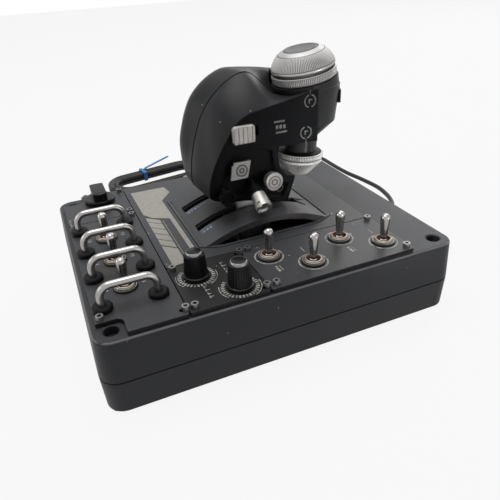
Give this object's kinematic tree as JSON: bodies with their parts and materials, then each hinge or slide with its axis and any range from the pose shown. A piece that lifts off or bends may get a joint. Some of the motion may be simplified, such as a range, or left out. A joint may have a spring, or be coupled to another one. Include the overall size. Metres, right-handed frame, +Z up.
{
  "type": "flight simulator throttle",
  "caption": "Desk throttle for flight simulation: a hand grip with knobs and hats on a swinging lever, over a boxed base with toggle, rotary and guarded switch panels and a cord.",
  "frame": {"origin": "under the middle of the case, on the surface its rubber feet stand on", "axes": "+X forward along the lever's travel, +Y away from the grip's control face, +Z up"},
  "size_m": [0.3281, 0.4172, 0.1722],
  "materials": {
    "case_plastic": "fine spark texture, matte",
    "rubber": "matte",
    "panel_plastic": "fine grained, matte",
    "black_plastic": "satin",
    "grip_plastic": "worn matte",
    "bright_metal": "polished",
    "dark_steel": "blackened",
    "turned_aluminium": "turned and knurled",
    "grey_cap": "satin",
    "brass": "turned",
    "steel": "brushed",
    "board_green": "solder mask",
    "cable_black": "satin jacket",
    "tie_blue": "satin",
    "plug_shell": "satin"
  },
  "bodies": {
    "base": {"lower_case": "case_plastic", "rubber_feet": "rubber", "upper_case": "case_plastic", "case_screws": "dark_steel", "guard_panel": "panel_plastic", "selector_panel": "panel_plastic", "knob_panel": "panel_plastic", "toggle_panel": "panel_plastic", "centre_panel": "panel_plastic", "arch_cover": "panel_plastic", "slot_seals": "rubber", "guard_loops": "bright_metal", "guard_collars": "black_plastic", "panel_screws": "dark_steel", "toggle_bodies": "brass", "toggle_nuts": "bright_metal", "encoder_bodies": "board_green", "selector_body": "black_plastic", "pivot_brackets": "steel", "bearings": "steel", "inner_screws": "dark_steel", "sensor_board": "board_green", "main_board": "board_green", "cord_gland": "rubber", "usb_cord": "cable_black", "cord_coil": "cable_black", "cord_tie": "tie_blue", "usb_plug": "plug_shell"},
    "guard_lever_1": {"guard_toggle_1": "bright_metal"},
    "guard_lever_2": {"guard_toggle_2": "bright_metal"},
    "guard_lever_3": {"guard_toggle_3": "bright_metal"},
    "row_lever_1": {"row_toggle_1": "bright_metal"},
    "row_lever_2": {"row_toggle_2": "bright_metal"},
    "row_lever_3": {"row_toggle_3": "bright_metal"},
    "row_lever_4": {"row_toggle_4": "bright_metal"},
    "knob_turn_1": {"rotary_knob_1": "black_plastic"},
    "knob_turn_2": {"rotary_knob_2": "black_plastic"},
    "selector_turn": {"selector_knob": "black_plastic"},
    "throttle": {"pivot_shaft": "steel", "shaft_magnet": "steel", "lever_arms": "steel", "grip_block": "grip_plastic", "far_shell": "grip_plastic", "near_shell": "grip_plastic", "control_plate": "black_plastic", "nose_housing": "grip_plastic", "grip_screws": "dark_steel"},
    "upper_turn": {"upper_knob": "turned_aluminium"},
    "top_push": {"knob_button": "grey_cap"},
    "lower_turn": {"lower_knob": "turned_aluminium"},
    "slide_cap": {"slide_switch": "turned_aluminium"},
    "square_ring": {"square_gimbal": "brass"},
    "square_cap": {"square_hat": "turned_aluminium"},
    "push_cap": {"push_knob": "turned_aluminium"},
    "castle_ring": {"castle_gimbal": "brass"},
    "castle_cap": {"castle_hat": "turned_aluminium"},
    "black_ring": {"black_gimbal": "brass"},
    "black_cap": {"black_hat": "black_plastic"},
    "nose_cap": {"nose_button": "black_plastic"}
  },
  "joints": [
    {"name": "throttle_swing", "type": "hinge", "parent": "base", "child": "throttle", "pos_m": [0.0122, 0.0105, 0.0176], "axis": [0, 1, 0], "range_deg": [-25, 5]},
    {"name": "guard_switch_1", "type": "hinge", "parent": "base", "child": "guard_lever_1", "pos_m": [-0.0958, 0.01285, 0.0566], "axis": [0, 1, 0], "range_deg": [-12, 12]},
    {"name": "guard_switch_2", "type": "hinge", "parent": "base", "child": "guard_lever_2", "pos_m": [-0.0958, -0.02145, 0.0566], "axis": [0, 1, 0], "range_deg": [-12, 12]},
    {"name": "guard_switch_3", "type": "hinge", "parent": "base", "child": "guard_lever_3", "pos_m": [-0.0958, -0.05575, 0.0566], "axis": [0, 1, 0], "range_deg": [-12, 12]},
    {"name": "row_switch_1", "type": "hinge", "parent": "base", "child": "row_lever_1", "pos_m": [-0.0022, -0.0641, 0.0566], "axis": [0, 1, 0], "range_deg": [-12, 12]},
    {"name": "row_switch_2", "type": "hinge", "parent": "base", "child": "row_lever_2", "pos_m": [0.0205, -0.083, 0.0566], "axis": [0, 1, 0], "range_deg": [-12, 12]},
    {"name": "row_switch_3", "type": "hinge", "parent": "base", "child": "row_lever_3", "pos_m": [0.0513, -0.0648, 0.0566], "axis": [0, 1, 0], "range_deg": [-12, 12]},
    {"name": "row_switch_4", "type": "hinge", "parent": "base", "child": "row_lever_4", "pos_m": [0.075, -0.0826, 0.0566], "axis": [0, 1, 0], "range_deg": [-12, 12]},
    {"name": "rotary_1", "type": "hinge", "parent": "base", "child": "knob_turn_1", "pos_m": [-0.0529, -0.0646, 0.0556], "axis": [0, 0, 1], "range_deg": [-135, 135]},
    {"name": "rotary_2", "type": "hinge", "parent": "base", "child": "knob_turn_2", "pos_m": [-0.0325, -0.0874, 0.0556], "axis": [0, 0, 1], "range_deg": [-135, 135]},
    {"name": "selector", "type": "hinge", "parent": "base", "child": "selector_turn", "pos_m": [-0.0897, 0.0806, 0.0556], "axis": [0, 0, 1], "range_deg": [-60, 60]},
    {"name": "upper_rotary", "type": "hinge", "parent": "throttle", "child": "upper_turn", "pos_m": [0.06364, 0.0095, 0.149], "axis": [-0.1616, 0, 0.9869], "range_deg": [-120, 120]},
    {"name": "top_button", "type": "slide", "parent": "upper_turn", "child": "top_push", "axis": [0.1616, 0, -0.9869], "range_m": [0, 0.0015], "stiffness_N_per_m": 600},
    {"name": "lower_rotary", "type": "hinge", "parent": "throttle", "child": "lower_turn", "pos_m": [0.06, 0.0095, 0.0954], "axis": [0.0698, 0, 0.9976], "range_deg": [-120, 120]},
    {"name": "slide_travel", "type": "slide", "parent": "throttle", "child": "slide_cap", "axis": [1, 0, 0], "range_m": [0, 0.009]},
    {"name": "square_up_down", "type": "hinge", "parent": "throttle", "child": "square_ring", "pos_m": [-0.0014, -0.0117, 0.1002], "axis": [1, 0, 0], "range_deg": [-8, 8], "stiffness_Nm_per_rad": 0.1},
    {"name": "square_left_right", "type": "hinge", "parent": "square_ring", "child": "square_cap", "pos_m": [-0.0014, -0.0117, 0.1002], "axis": [0, 0, 1], "range_deg": [-8, 8], "stiffness_Nm_per_rad": 0.1},
    {"name": "castle_up_down", "type": "hinge", "parent": "throttle", "child": "castle_ring", "pos_m": [0.0077, -0.01187, 0.09135], "axis": [1, 0, 0], "range_deg": [-6, 6], "stiffness_Nm_per_rad": 0.1},
    {"name": "castle_left_right", "type": "hinge", "parent": "castle_ring", "child": "castle_cap", "pos_m": [0.0077, -0.01187, 0.09135], "axis": [0, -0.5, 0.866], "range_deg": [-6, 6], "stiffness_Nm_per_rad": 0.1},
    {"name": "black_up_down", "type": "hinge", "parent": "throttle", "child": "black_ring", "pos_m": [-0.014, -0.0117, 0.0841], "axis": [1, 0, 0], "range_deg": [-8, 8], "stiffness_Nm_per_rad": 0.1},
    {"name": "black_left_right", "type": "hinge", "parent": "black_ring", "child": "black_cap", "pos_m": [-0.014, -0.0117, 0.0841], "axis": [0, 0, 1], "range_deg": [-8, 8], "stiffness_Nm_per_rad": 0.1},
    {"name": "push_button", "type": "slide", "parent": "throttle", "child": "push_cap", "axis": [0, 1, 0], "range_m": [0, 0.0015], "stiffness_N_per_m": 600},
    {"name": "nose_switch", "type": "slide", "parent": "throttle", "child": "nose_cap", "axis": [-0.8988, 0.4384, 0], "range_m": [0, 0.0015], "stiffness_N_per_m": 600}
  ]
}
